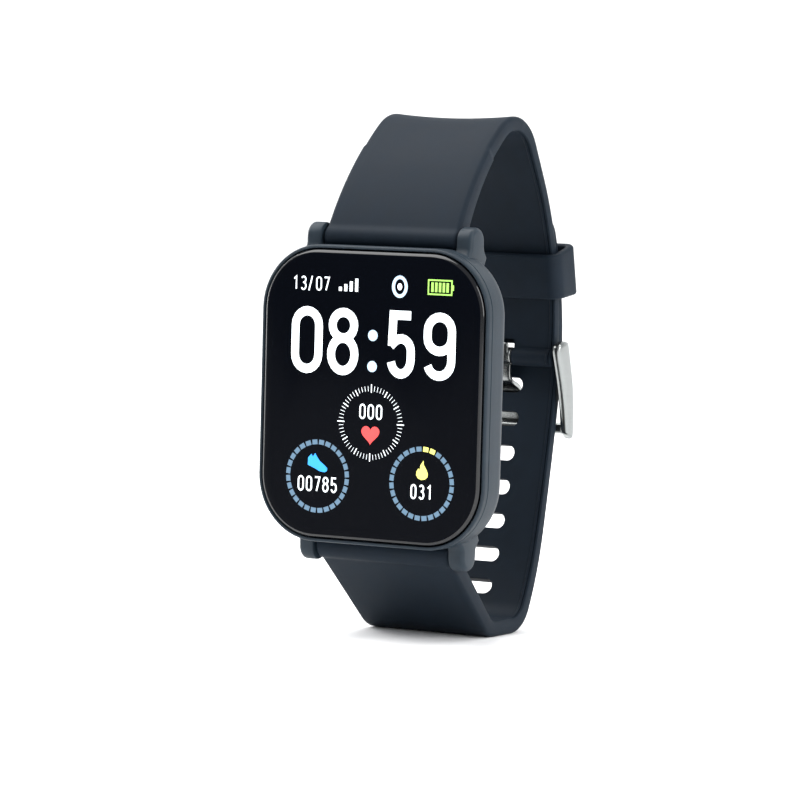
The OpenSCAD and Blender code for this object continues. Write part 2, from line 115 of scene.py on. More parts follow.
M = {
    "case": material("case_plastic", (32, 43, 52), 0.45, vary=0.10, scale=500, grain=0.25,
        grain_scale=9000, spec=0.24),
    "glass": material("cover_glass", (4, 6, 12), 0.05, vary=0.06, scale=60, spec=0.04, rough_vary=0.03),
    "glass_edge": material("glass_edge", (6, 8, 12), 0.1, vary=0.08, scale=120, spec=0.55),
    "silicone": material("silicone", (19, 29, 39), 0.62, vary=0.09, scale=350, grain=0.22,
        grain_scale=11000, spec=0.14),
    "buckle": material("polished_steel", (150, 153, 152), 0.26, metallic=1.0, vary=0.04, scale=300,
        grain=0.08, streak=(1, 1, 12), grain_scale=4000),
    "steel": material("turned_steel", (176, 180, 184), 0.28, metallic=1.0, vary=0.08, scale=900,
        grain=0.15, streak=(20, 1, 1)),
    "back": material("back_plastic", (24, 27, 31), 0.3, vary=0.08, scale=400, grain=0.15,
        grain_scale=8000),
    "lens": material("sensor_lens", (14, 10, 14), 0.05, vary=0.1, scale=300, coat=0.6),
    "gold": material("gold_contact", (221, 178, 96), 0.22, metallic=1.0, vary=0.06, scale=700,
        grain=0.1),
    "seal": material("seal_rubber", (22, 23, 26), 0.7, vary=0.15, scale=800, grain=0.3),
    "board": material("board_mask", (20, 84, 46), 0.35, vary=0.25, scale=1500, grain=0.2,
        grain_scale=3000),
    "chip": material("chip_package", (34, 35, 38), 0.5, vary=0.15, scale=2500, grain=0.4),
    "shield": material("shield_plate", (186, 189, 193), 0.35, metallic=1.0, vary=0.08, scale=900,
        grain=0.2),
    "flex": material("flex_film", (176, 116, 44), 0.3, vary=0.15, scale=700, grain=0.1),
    "inner": material("tray_plastic", (40, 43, 47), 0.55, vary=0.12, scale=600, grain=0.3),
    "battery": material("battery_foil", (168, 172, 176), 0.32, metallic=0.9, vary=0.1, scale=500,
        grain=0.5, grain_scale=2500),
    "tungsten": material("tungsten", (104, 98, 90), 0.45, metallic=1.0, vary=0.12, scale=1800,
        grain=0.3),
    "led": material("led_epoxy", (140, 210, 150), 0.15, vary=0.08, scale=1500, coat=0.5),
    "display": material("display_layers", (12, 20, 34), 0.2, vary=0.1, scale=200),
    "ui_white": material("ui_white", (238, 244, 248), 0.3, vary=0.02, scale=400,
        glow=(238, 245, 250), glow_strength=0.93),
    "ui_pale": material("ui_pale_blue", (176, 204, 224), 0.3, vary=0.03, scale=400,
        glow=(172, 200, 222), glow_strength=0.9),
    "ui_block": material("ui_grey_blue", (84, 112, 134), 0.3, vary=0.04, scale=900,
        glow=(84, 112, 134), glow_strength=0.7),
    "ui_blue": material("ui_blue", (40, 150, 235), 0.3, vary=0.04, scale=600,
        glow=(42, 150, 236), glow_strength=0.9),
    "ui_red": material("ui_red", (226, 66, 66), 0.3, vary=0.03, scale=600,
        glow=(226, 70, 68), glow_strength=0.9),
    "ui_yellow": material("ui_yellow", (222, 220, 110), 0.3, vary=0.04, scale=600,
        glow=(220, 220, 112), glow_strength=0.9),
    "ui_green": material("ui_green", (150, 206, 90), 0.3, vary=0.04, scale=600,
        glow=(150, 208, 92), glow_strength=0.9),
}


# ---- Mesh helpers

def piece(name, verts, faces, mats, body, slot, replaces=(), angle=38, mat_of=None):
    """Makes one visual piece. mat_of picks a material for a face; angle is where edges stay sharp."""
    me = bpy.data.meshes.new(name)
    me.from_pydata([at(*v) for v in verts], [], faces)
    me.validate()
    for k in mats:
        me.materials.append(M[k])
    ob = bpy.data.objects.new(name, me)
    bpy.context.scene.collection.objects.link(ob)
    if mat_of:
        for p in me.polygons:
            p.material_index = mat_of(p)
    smooth(me, angle)
    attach(ob, body)
    if replaces:
        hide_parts(*replaces)
    return ob


def smooth(me, angle):
    me.shade_smooth()
    me.set_sharp_from_angle(angle=radians(angle))


def joined(parts):
    """Joins (verts, faces) islands into one."""
    verts, faces = [], []
    for v, f in parts:
        k = len(verts)
        verts += v
        faces += [tuple(i + k for i in q) for q in f]
    return verts, faces


def loft(rows, cap=True, closed=False):
    """Skins rows of equal length. closed joins the last row to the first."""
    n = len(rows[0])
    verts = [p for row in rows for p in row]
    faces = []
    for a in range(len(rows) if closed else len(rows) - 1):
        b = (a + 1) % len(rows)
        for k in range(n):
            j = (k + 1) % n
            faces.append((a * n + k, a * n + j, b * n + j, b * n + k))
    if cap and not closed:
        faces.append(tuple(range(n - 1, -1, -1)))
        faces.append(tuple((len(rows) - 1) * n + k for k in range(n)))
    return verts, faces


def rounded(w, h, r, n=18, fine=()):
    """A rounded rectangle's (x, z) points. fine lists extra |x| places along the top and bottom."""
    pts = []
    for cx, cz, a0 in ((1, 1, 0), (-1, 1, 90), (-1, -1, 180), (1, -1, 270)):
        for k in range(n + 1):
            a = radians(a0 + 90 * k / n)
            pts.append((cx * (w / 2 - r) + r * cos(a), cz * (h / 2 - r) + r * sin(a)))
        if a0 == 0:
            pts += [(x, h / 2) for x in fine]
        if a0 == 180:
            pts += [(-x, -h / 2) for x in fine]
        # Five places down the left side or up the right one
        if a0 in (90, 270):
            s = -1 if a0 == 90 else 1
            pts += [(s * w / 2, -s * (h / 2 - r) * (1 - k / 3)) for k in range(1, 6)]
    return pts


# ---- Case

CASE_W, CASE_H, CASE_R = 37.6, 43.0, 9.5
LUG_GAP, LUG_W, LUG_R = 22.6, 2.5, 2.05
BAR_Y, BAR_Z = 6.0, 22.6
SIDE_Y, LEAN = 5.4, 0.63
# Extra places across the top and bottom walls, so that the hollows between the lugs come out smooth
FINE = (8, 4, 0, -4, -8)


def outline_rows(steps):
    """The case's outline at each (inset, depth)."""
    rows = []
    for inset, y in steps:
        outline = rounded(CASE_W - 2 * inset, CASE_H - 2 * inset, CASE_R - inset, fine=FINE)
        rows.append([(x, y, z) for x, z in outline])
    return rows


def arc_steps(d0, y0, d1, y1, n, turn=1):
    """Insets and depths round a quarter ellipse. turn=1 leaves d0 along y first."""
    out = []
    for k in range(n + 1):
        a = pi / 2 * k / n
        s, c = (1 - cos(a), sin(a)) if turn == 1 else (sin(a), 1 - cos(a))
        out.append((d0 + (d1 - d0) * s, y0 + (y1 - y0) * c))
    return out


def scallop(v):
    """Hollows the top and bottom walls between the lugs for the strap's knuckles."""
    x, y, z = v
    r = LUG_R + 0.1
    if abs(x) <= LUG_GAP / 2 and abs(y - BAR_Y) < r:
        limit = BAR_Z - sqrt(r * r - (y - BAR_Y) ** 2)
        if abs(z) > limit:
            z = limit if z > 0 else -limit
    return x, y, z


def lean(y):
    """How far the side leans in at a depth, eased where the lean begins."""
    t = y - SIDE_Y
    return LEAN * (t + sqrt(t * t + 0.25)) / 2


def case_shell():
    """The outside of the case, as (inset, depth) steps from the glass's seat round to the cover's seat."""
    steps = [(0.5, 1.15), (0.5, 0.75)]
    # Front rim
    steps += arc_steps(0.5, 0.75, 0.34, 0.52, 3)
    steps += [(0.26, 0.5)]
    steps += arc_steps(0.26, 0.5, 0.0, 0.95, 5, turn=2)
    # Parting groove
    steps += [(0.0, 1.5), (0.0, 1.62), (0.09, 1.68), (0.09, 1.8), (0.0, 1.86), (0.0, 2.6), (0.0, 3.4)]
    # Side, and the edge to the back
    steps += [(lean(3.86 + 0.25 * k), 3.86 + 0.25 * k) for k in range(20)]
    steps += [(2.16, 8.8), (2.24, 8.95), (2.34, 9.08), (2.46, 9.16), (2.58, 9.2)]
    steps += [(2.78, 9.2), (2.86, 9.14), (2.9, 9.0), (2.9, 8.4)]
    verts, faces = loft(outline_rows(steps), cap=False)
    return [scallop(v) for v in verts], faces


def lug(sx, sz):
    """A round-topped lug, rounded at its two ends across the watch."""
    root_z, edge = 18.5, 0.7
    x0, x1 = LUG_GAP / 2, LUG_GAP / 2 + LUG_W
    ends = [(0.3, x0), (0.1, x0 + 0.08), (0.0, x0 + 0.3)]
    for a in range(0, 91, 15):
        ends.append((edge * (1 - cos(radians(a))), x1 - edge + edge * sin(radians(a))))
    rows = []
    for inset, x in ends:
        r = LUG_R - inset
        row = [(BAR_Y + r, root_z)]
        row += [(BAR_Y + r + 0.9 * (1 - k / 6) ** 2, 20.3 + 1.7 * k / 6) for k in range(6)]
        row += [(BAR_Y + r * cos(radians(a)), BAR_Z + r * sin(radians(a))) for a in range(0, 181, 12)]
        row += [(BAR_Y - r - 0.9 * (k / 6) ** 2, 22.0 - 1.7 * k / 6) for k in range(1, 7)]
        row += [(BAR_Y - r, root_z)]
        rows.append([(sx * x, y, sz * z) for y, z in row])
    return loft(rows)


case_parts = [case_shell()] + [lug(sx, sz) for sx in (-1, 1) for sz in (-1, 1)]
piece("case_shell", *joined(case_parts), ["case"], "case", "case", ["mid_frame"])

GLASS_STEPS = [
    (0.66, 1.0), (0.62, 0.93), (0.62, 0.8), (0.66, 0.64), (0.76, 0.46), (0.92, 0.31), (1.13, 0.2),
    (1.4, 0.12), (1.8, 0.06), (2.3, 0.03)
]


def glass_side(p):
    """1 for the small faces of the rounded edge, 0 for the flat front and back."""
    return 1 if p.area < 4e-6 and abs(p.normal.y) < 0.93 else 0


piece("glass_lens", *loft(outline_rows(GLASS_STEPS)), ["glass", "glass_edge"], "case", "glass",
      ["cover_glass"], angle=60, mat_of=glass_side)


# ---- Display: everything lit on the screen is a flat shape just in front of the glass

UI_X, UI_Y = 0.25, 0.018


class Sheet:
    """Collects flat shapes, in x and z, for one colour."""

    def __init__(self):
        self.verts, self.faces, self.lift = [], [], 0

    def poly(self, pts):
        k = len(self.verts)
        self.verts += [(x + UI_X, UI_Y, z) for x, z in pts]
        self.faces.append(tuple(range(k, k + len(pts))))

    def stroke(self, pts, width, closed=False):
        """A line of even width. Each stroke lies a hair in front of the one before, where they cross."""
        n = len(pts)
        left, right = [], []
        for k, (x, z) in enumerate(pts):
            a = pts[(k - 1) % n] if closed or k else None
            b = pts[(k + 1) % n] if closed or k < n - 1 else None
            t = Vector((0, 0))
            for p, q in ((a, (x, z)), ((x, z), b)):
                if p and q and p != q:
                    t += (Vector(q) - Vector(p)).normalized()
            t.normalize()
            one = (Vector(b) - Vector((x, z))).normalized() if b and b != (x, z) else t
            m = width / 2 / max(0.5, abs(t.dot(one)))
            nx, nz = -t.y * m, t.x * m
            left.append((x + nx, z + nz))
            right.append((x - nx, z - nz))
        k = len(self.verts)
        self.verts += [(x + UI_X, UI_Y - self.lift, z) for x, z in left + right]
        for i in range(n if closed else n - 1):
            j = (i + 1) % n
            self.faces.append((k + i, k + j, k + n + j, k + n + i))
        self.lift += 0.0004

    def done(self, name, mat):
        ob = piece(name, self.verts, self.faces, [mat], "case", "display")
        for p in ob.data.polygons:
            if p.normal.y > 0:
                p.flip()


def bow(cx, cz, rx, rz, a0, a1, n=10):
    """Points round part of an ellipse."""
    turns = [radians(a0 + (a1 - a0) * k / n) for k in range(n + 1)]
    return [(cx + rx * cos(a), cz + rz * sin(a)) for a in turns]


def glyph(c):
    """Centre lines of a digit in a box 1 wide and 2 high, as (points, closed)."""
    r = 0.5
    if c == "0":
        return [(bow(.5, 1.5, r, .5, 0, 180) + bow(.5, .5, r, .5, 180, 360), True)]
    if c == "1":
        return [([(.12, 1.62), (.6, 2.0), (.6, 0)], False)]
    if c == "3":
        return [(bow(.5, 1.55, .44, .45, 150, -90, 14) + [(.38, 1.1)], False),
                ([(.38, 1.08)] + bow(.5, .54, r, .54, 90, -150, 14), False)]
    if c == "5":
        flag = [(.95, 2.0), (.1, 2.0), (.06, 1.1), (.07, 1.1)]
        return [(flag + bow(.5, .78, .48, .42, 140, 0, 8) + bow(.5, .5, .48, .5, 0, -168, 12), False)]
    if c == "7":
        return [([(.0, 2.0), (.98, 2.0), (.36, 0)], False)]
    if c == "8":
        return [(bow(.5, 1.56, .46, .44, -90, 270, 24)[:-1], True),
                (bow(.5, .56, .5, .56, 90, 450, 24)[:-1], True)]
    if c == "9":
        return [(bow(.5, 1.52, r, .48, 0, 180) + bow(.5, 1.28, r, .44, 180, 360), True),
                ([(1.0, 1.3)] + bow(.5, .5, r, .5, 0, -160, 12), False)]
    if c == "/":
        return [([(.0, -.15), (.7, 2.15)], False)]
    return []


def figures(sheet, text, x0, x1, z0, z1, width, gap=0.35):
    """Draws digits between x0 and x1, with their outsides on z0 and z1."""
    wide = (x1 - x0 - gap * (len(text) - 1)) / len(text)
    for k, c in enumerate(text):
        left = x0 + k * (wide + gap) + width / 2
        for pts, closed in glyph(c):
            line = [(left + u * (wide - width), z0 + width / 2 + v / 2 * (z1 - z0 - width)) for u, v in pts]
            sheet.stroke(line, width, closed)


white, pale, block, blue, red, yellow, green = (Sheet() for _ in range(7))
THIN, SMALL_GAP = 0.25, 0.34


def time_row():
    for c, x0, x1 in (("0", -13.62, -8.38), ("8", -7.55, -2.33), ("5", 2.36, 7.05), ("9", 8.38, 13.62)):
        figures(white, c, x0, x1, 2.87, 12.54, 1.3)
    for z in (8.8, 4.35):
        pale.poly(bow(0, z, .8, .8, 0, 345, 23))


def status_row():
    """Date, four bars, a round icon and a battery with five cells."""
    figures(white, "13/07", -13.6, -7.4, 14.85, 16.9, 0.22, 0.3)
    for k in range(4):
        x = -5.6 + 0.9 * k
        white.stroke([(x, 14.95), (x, 15.55 + 0.42 * k)], 0.5)
    pale.stroke(bow(4.25, 15.95, 1.05, 1.35, 0, 345, 23), 0.5, True)
    white.poly(bow(4.25, 15.95, .38, .5, 0, 345, 23))
    green.stroke([(8.95, 15.1), (12.75, 15.1), (12.75, 17.1), (8.95, 17.1)], 0.22, True)
    green.stroke([(12.95, 15.7), (12.95, 16.5)], 0.3)
    for k in range(5):
        x = 9.6 + 0.62 * k
        green.stroke([(x, 15.42), (x, 16.78)], 0.4)


def heart(size, base_z, n=36):
    """The usual heart curve, scaled to a half width."""
    out = []
    for k in range(n):
        a = radians(360 / n * k)
        high = 13 * cos(a) - 5 * cos(2 * a) - 2 * cos(3 * a) - cos(4 * a)
        out.append((size * sin(a) ** 3, high / 16 * size + base_z))
    return out


def pulse_dial():
    """Sixty ticks round three figures and a heart."""
    mid_z = -3.755
    for k in range(60):
        a = radians(6 * k)
        bold = k % 5 == 0
        r0 = 4.35 if bold else 4.55
        r1 = 5.55 if k % 15 == 0 else 5.3
        tick = [(r * sin(a), r * cos(a) + mid_z) for r in (r0, r1)]
        white.stroke(tick, 0.16 if bold else 0.07)
    figures(white, "000", -1.9, 1.9, -3.25, -1.05, THIN, SMALL_GAP)
    figures(white, "00785", -11.95, -5.35, -14.2, -11.95, THIN, SMALL_GAP)
    figures(white, "031", 6.9, 10.5, -14.2, -12.05, THIN, SMALL_GAP)
    red.poly(heart(1.5, -5.35))


def gauges():
    """Two rings of blocks, with a shoe in the left one and a flame in the right one."""
    ring_x, ring_z, count = 8.67, -11.93, 28
    for cx, lit in ((-ring_x, ()), (ring_x, (0, 1))):
        for k in range(count):
            a = radians(360 / count * (k + 0.5))
            u, v = sin(a), cos(a)
            s = yellow if k in lit else block
            s.stroke([(cx + 4.6 * u, 4.6 * v + ring_z), (cx + 5.3 * u, 5.3 * v + ring_z)], 0.86)
    blue.poly([
        (-10.3, -9.3), (-9.75, -8.75), (-9.5, -9.15), (-9.15, -8.6), (-8.75, -9.2), (-8.3, -9.75),
        (-7.5, -10.3), (-7.05, -10.7), (-7.1, -11.1), (-7.5, -11.3), (-8.3, -11.2), (-9.3, -10.75),
        (-10.35, -10.35)
    ])
    yellow.poly([
        (8.9, -8.6), (8.95, -9.2), (9.35, -9.8), (9.65, -10.4), (9.6, -10.95), (9.2, -11.3), (8.6, -11.4),
        (8.05, -11.2), (7.75, -10.75), (7.8, -10.2), (8.1, -9.75), (8.3, -10.05), (8.4, -9.3)
    ])


time_row()
status_row()
pulse_dial()
gauges()
white.done("screen_white", "ui_white")
pale.done("screen_pale", "ui_pale")
block.done("screen_blocks", "ui_block")
blue.done("screen_blue", "ui_blue")
red.done("screen_red", "ui_red")
yellow.done("screen_yellow", "ui_yellow")
green.done("screen_green", "ui_green")


# ---- Back of the case

BUMP_R, SENSOR_R = 12.0, 6.15
CONTACT_X, CONTACT_Z = 2.6, -14.5


def revolve(profile, cx, cz, n=64):
    """Turns (radius, y) about a line along Y."""
    turns = [2 * pi * k / n for k in range(n)]
    return loft([[(cx + r * cos(a), y, cz + r * sin(a)) for a in turns] for r, y in profile])


def back_plate():
    steps = [(3.03, 8.36), (3.03, 9.3)]
    steps += arc_steps(3.03, 9.3, 3.45, 9.68, 6)
    steps += [(4.2, 9.7)]
    return loft(outline_rows(steps))


def sensor_bump():
    """The round rise on the back, with a step down to the sensor's lens."""
    edge = 0.42
    profile = [(BUMP_R, 9.5), (BUMP_R, 9.85)]
    for a in range(15, 91, 15):
        profile.append((BUMP_R - edge * (1 - cos(radians(a))), 9.85 + edge * sin(radians(a))))
    profile += [(6.7, 10.28), (6.4, 10.24), (6.28, 10.1), (6.28, 9.2)]
    return revolve(profile, 0, 0)


def sensor_lens():
    """A shallow dome."""
    edge_y, high = 10.05, 0.2
    profile = [(SENSOR_R, 9.1), (SENSOR_R, edge_y)]
    for a in (12, 25, 40, 55, 70, 82):
        profile.append((SENSOR_R * cos(radians(a)), edge_y + high * sin(radians(a))))
    return revolve(profile, 0, 0)


def at_contacts(profile):
    """One turned shape at each of the two charging contacts."""
    return [revolve(profile, x * CONTACT_X, CONTACT_Z, 32) for x in (-1, 1)]


wells = at_contacts([(1.0, 9.5), (1.02, 9.6), (1.2, 9.72), (1.42, 9.72), (1.5, 9.68)])
piece("back_shell", *joined([back_plate(), sensor_bump()] + wells), ["back"], "case", "back_plastic",
      ["back_cover"])
piece("sensor_lens", *sensor_lens(), ["lens"], "case", "window", ["sensor_window"], angle=50)
pins = at_contacts([(0.9, 8.3), (0.9, 9.72), (0.8, 9.79), (0.6, 9.8), (0.3, 9.8)])
piece("contact_pins", *joined(pins), ["gold"], "case", "gold", ["charge_contacts"])


# ---- Strap: each half's middle line is a chain of (length, turn in degrees) pieces

def ahead(p, length, turn):
    y, z, h = p
    if abs(turn) < 1e-9:
        return (y + length * cos(radians(h)), z + length * sin(radians(h)), h)
    r = length / radians(turn)
    h2 = h + turn
    return (y + r * (sin(radians(h2)) - sin(radians(h))), z - r * (cos(radians(h2)) - cos(radians(h))), h2)


def along(p, run, s):
    """Where the chain is after a distance s, as (y, z, heading)."""
    if s < 0:
        return ahead(p, s, 0)
    for length, turn in run:
        if s <= length:
            return ahead(p, s, turn * s / length)
        p = ahead(p, length, turn)
        s -= length
    return ahead(p, s, 0)


def beside(p, d):
    """A point beside the chain: d is the distance outwards, away from the wrist."""
    return p[0] - d * sin(radians(p[2])), p[1] + d * cos(radians(p[2]))


ROOT_T, FOOT_T, LAP_T, LAP_GAP = 2.7, 2.3, 1.8, 0.15
LAP_L, LAP_TURN, TAIL_TURN = 28.2, 34.8, 28.3
FOOT_BEND_L, FOOT_TURN = 3.4, 42.5
KNUCKLE_R, END_R, PIN_INSET = 1.72, 1.4, 0.5

UPPER_RUN = [(20.5, -28), (11, -96), (5.5, 0), (LAP_L, -LAP_TURN)]
UPPER_START = (BAR_Y, BAR_Z, 65)
UPPER_L = sum(a for a, b in UPPER_RUN)
UPPER_END = along(UPPER_START, UPPER_RUN, UPPER_L)
PIN = beside(UPPER_END, -PIN_INSET)

LAP_R = LAP_L / radians(LAP_TURN)
LAP_C = beside(UPPER_END, -LAP_R)
TAIL_R = LAP_R + LAP_T + LAP_GAP
TAIL_H = UPPER_END[2] + TAIL_TURN
TAIL_TIP = (LAP_C[0] - TAIL_R * sin(radians(TAIL_H)), LAP_C[1] + TAIL_R * cos(radians(TAIL_H)), TAIL_H)
TAIL_L = TAIL_R * radians(TAIL_TURN)
BACK_RUN = [(TAIL_L, -TAIL_TURN), (6, -7), (21, -4), (11, -14), (5.2, -61.2)]
BACK_L = sum(a for a, b in BACK_RUN)
BACK_END = along(TAIL_TIP, BACK_RUN, BACK_L)
BENT = ahead((0, 0, BACK_END[2]), FOOT_BEND_L, -FOOT_TURN)
FRONT_L = (-BAR_Z - BACK_END[1] - BENT[1]) / sin(radians(BENT[2]))
FOOT_L = BACK_END[0] + BENT[0] + FRONT_L * cos(radians(BENT[2])) - BAR_Y
LOWER_RUN = BACK_RUN + [(FOOT_L, 0), (FOOT_BEND_L, -FOOT_TURN), (FRONT_L, 0)]
LOWER_L = sum(a for a, b in LOWER_RUN)
SLOT_S = TAIL_L + 4.4
PITCH, SLOT_L, SLOT_H = 5.2, 8.0, 2.3

# Widths at the lugs, over the bends, at the end by the buckle and at the tail's tip
LUG_END_W, BEND_W, BUCKLE_END_W, TAIL_W = 22.1, 20.8, 20.0, 18.6
TOP_Z, BOTTOM_Z = 41.2, 36.6


def mix(a, b, t):
    t = min(1, max(0, t))
    return a + (b - a) * t


def knuckle(s, r):
    """Half the thickness of a round end, at a distance s from its middle."""
    return sqrt(max(0, r * r - s * s))


def upper_faces(s):
    """Outer and inner surface offsets of the upper half."""
    h = mix(ROOT_T, LAP_T, s / (UPPER_L - LAP_L)) / 2
    root = knuckle(s, KNUCKLE_R)
    end = knuckle(s - UPPER_L, END_R)
    if s < 0:
        return root, -root
    if s > UPPER_L:
        return min(h, end - PIN_INSET), -PIN_INSET - end
    return max(h, root), min(-h, -root, -PIN_INSET - end if s > UPPER_L - END_R else 0)


def lower_thickness(s):
    thin = TAIL_L + 18
    if s < thin:
        return LAP_T
    if s < BACK_L:
        return mix(LAP_T, FOOT_T, (s - thin) / (BACK_L - thin))
    return mix(FOOT_T, ROOT_T, (s - BACK_L - FOOT_L) / (LOWER_L - BACK_L - FOOT_L))


def lower_faces(s):
    """Outer and inner surface offsets of the lower half."""
    h = lower_thickness(s) / 2
    root = knuckle(s - LOWER_L, KNUCKLE_R)
    if s > LOWER_L:
        return root, -root
    if s < 0.5:
        h *= sqrt(max(0.05, 1 - (1 - s / 0.5) ** 2))
    return max(h, root), -max(h, root)


def upper_half_w(s):
    y, z, _ = along(UPPER_START, UPPER_RUN, s)
    if s < 15.5:
        return mix(LUG_END_W, BEND_W, (z - BAR_Z) / (TOP_Z - BAR_Z)) / 2
    if s < 27:
        return 20.86 / 2
    return mix(BEND_W, BUCKLE_END_W, (TOP_Z - z) / (TOP_Z - PIN[1] + END_R)) / 2


def lower_half_w(s):
    y, z, _ = along(TAIL_TIP, LOWER_RUN, s)
    front = mix(LUG_END_W, BEND_W, (-BAR_Z - z) / (BOTTOM_Z - BAR_Z)) / 2
    back = mix(TAIL_W, BEND_W, (TAIL_TIP[1] - z) / (BOTTOM_Z + TAIL_TIP[1])) / 2
    t = min(1, max(0, (y - 17) / 9))
    w = mix(front, back, t * t * (3 - 2 * t))
    corner = 5
    return w - (corner - sqrt(corner ** 2 - (corner - s) ** 2) if s < corner else 0)


def strap_section(hw, out, inn, lip):
    """Points round the strap: across, thickness. A soft outer edge, a groove and a lip on the inner one."""
    t = out - inn
    ro, ri = min(0.62, t * 0.42), min(0.22, t * 0.2)
    flat_w, parts = hw - 2.2, 9
    pts = [((2 * k / parts - 1) * flat_w, out) for k in range(parts + 1)]
    side = []
    for k in range(6):
        a = radians(90 - 18 * k)
        side.append((hw - ro + ro * cos(a), out - ro + ro * sin(a)))
    side.append((hw, (out + inn) / 2))
    for a in (0, -45, -90):
        side.append((hw - ri + ri * cos(radians(a)), inn + ri + ri * sin(radians(a))))
    side += [
        (hw - 0.34, inn), (hw - 0.40, inn + lip * 1.6), (hw - 0.50, inn + lip * 1.6),
        (hw - 0.56, inn), (hw - 0.86, inn), (hw - 0.98, inn + lip)
    ]
    pts += side
    pts += [((1 - 2 * k / parts) * flat_w, inn + lip) for k in range(parts + 1)]
    return pts + [(-x, w) for x, w in side[::-1]]


def stadium(length, high, n=10):
    r = high / 2
    e = length / 2 - r
    pts = []
    for side in (1, -1):
        for k in range(n + 1):
            a = radians(-90 * side + 180 * k / n)
            pts.append((side * e + r * cos(a), r * sin(a)))
    return pts


def flat_object(name, verts, faces):
    me = bpy.data.meshes.new(name)
    me.from_pydata(verts, [], faces)
    ob = bpy.data.objects.new(name, me)
    bpy.context.scene.collection.objects.link(ob)
    return ob


def cut(ob, cutters):
    """Takes closed (verts, faces) solids out of a flat strap and returns its new mesh."""
    tool = flat_object("cutter", *joined(cutters))
    mod = ob.modifiers.new("cut", "BOOLEAN")
    mod.operation = "DIFFERENCE"
    mod.solver = "EXACT"
    mod.object = tool
    me = bpy.data.meshes.new_from_object(ob.evaluated_get(bpy.context.evaluated_depsgraph_get()))
    ob.modifiers.clear()
    bpy.data.objects.remove(tool)
    return me


def stations_between(s0, s1):
    """Places along a strap, closer together at its two ends."""
    ends = [0, 0.12, 0.28, 0.5, 0.8]
    count = int((s1 - s0) / 0.42)
    middle = [s0 + 1.1 + (s1 - s0 - 2.2) * k / count for k in range(count + 1)]
    return [s0 + e for e in ends] + middle + [s1 - e for e in ends[::-1]]


def strap(name, start, run, s0, s1, faces_at, half_w, dip, cutters, body, node):
    """Builds a strap flat, cuts it, then bends every point onto its path. dip hollows its middle."""
    lip, least, inside = 0.12, 0.3, 0.03
    rows = []
    for s in stations_between(s0, s1):
        out, inn = faces_at(min(max(s, s0 + inside), s1 - inside))
        if out - inn < least:
            mid = (out + inn) / 2
            out, inn = mid + least / 2, mid - least / 2
        section = strap_section(half_w(s), out, inn, lip if out - inn > 1.5 else 0)
        rows.append([(x, s, w) for x, w in section])
    ob = flat_object(name, *loft(rows))
    me = cut(ob, cutters)
    for v in me.vertices:
        x, s, w = v.co
        share = 1 - (x / half_w(s)) ** 2
        p = along(start, run, s)
        y, z = beside(p, w - dip(s) * share)
        v.co = at(x, y, z)
    ob.data = me
    me.materials.clear()
    me.materials.append(M["silicone"])
    smooth(me, 35)
    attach(ob, body)
    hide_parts(node)


def slot_cutter(s):
    """A slot with eased edges, in the flat strap."""
    half = lower_faces(s)[0]
    eased = [(0.3, half + 1), (0.2, half), (0.06, half - 0.14), (0, half - 0.3)]
    rows = []
    for grow, w in [(grow, -w) for grow, w in eased] + eased[::-1]:
        rows.append([(x, s + y, w) for x, y in stadium(SLOT_L + 2 * grow, SLOT_H + 2 * grow)])
    return loft(rows)


def notch_cutter():
    """The gap in the upper half's end, round the tongue."""
    half, high, past = 3.2, 2.6, 3.2
    corners = ((-half, -high), (half, -high), (half, past), (-half, past))
    return loft([[(x, UPPER_L + s, w) for x, s in corners] for w in (-4, 4)])


def bell(s, mid, wide):
    t = (s - mid) / wide
    return max(0, 1 - t * t) ** 2 if abs(t) < 1 else 0


strap("strap_top", UPPER_START, UPPER_RUN, -1.7, UPPER_L + 1.38, upper_faces, upper_half_w,
      lambda s: 0.55 * bell(s, 26, 15), [notch_cutter()], "upper_strap", "upper_strap")
strap("strap_tail", TAIL_TIP, LOWER_RUN, 0, LOWER_L + 1.7, lower_faces, lower_half_w,
      lambda s: 0, [slot_cutter(SLOT_S + PITCH * k) for k in range(-3, 7)], "lower_strap", "lower_strap")


# ---- Keeper

KEEPER_H, KEEPER_T, KEEPER_TURN = 7.0, 1.2, 15.6


def keeper_loop():
    """A band bent to the lap's own centre: a small section led round the opening's rim."""
    inside, outside = LAP_R - LAP_T / 2 - 0.3, TAIL_R + LAP_T / 2 + 0.6
    mid, half_w, half_r = (inside + outside) / 2, 10.45, (outside - inside) / 2
    rim = rounded(2 * half_w, 2 * half_r, 0.7, 8, FINE)
    edge = 0.42
    section = []
    for cx, cw, a0 in ((1, 1, 0), (-1, 1, 90), (-1, -1, 180), (1, -1, 270)):
        for k in range(5):
            a = radians(a0 + 90 * k / 4)
            section.append((KEEPER_T / 2 + cx * (KEEPER_T / 2 - edge) + edge * cos(a),
                            cw * (KEEPER_H / 2 - edge) + edge * sin(a)))
    centre = UPPER_END[2] + 90 + KEEPER_TURN
    rows = []
    n = len(rim)
    for k, (x, q) in enumerate(rim):
        tx, tq = rim[(k + 1) % n][0] - rim[k - 1][0], rim[(k + 1) % n][1] - rim[k - 1][1]
        d = hypot(tx, tq)
        nx, nq = tq / d, -tx / d
        row = []
        for t, a in section:
            a = radians(centre + degrees(a / LAP_R))
            rad = mid + q + nq * t
            row.append((x + nx * t, LAP_C[0] + rad * cos(a), LAP_C[1] + rad * sin(a)))
        rows.append(row)
    return loft(rows, closed=True)


piece("keeper_loop", *keeper_loop(), ["silicone"], "keeper", "silicone", ["keeper"])


# ---- Buckle

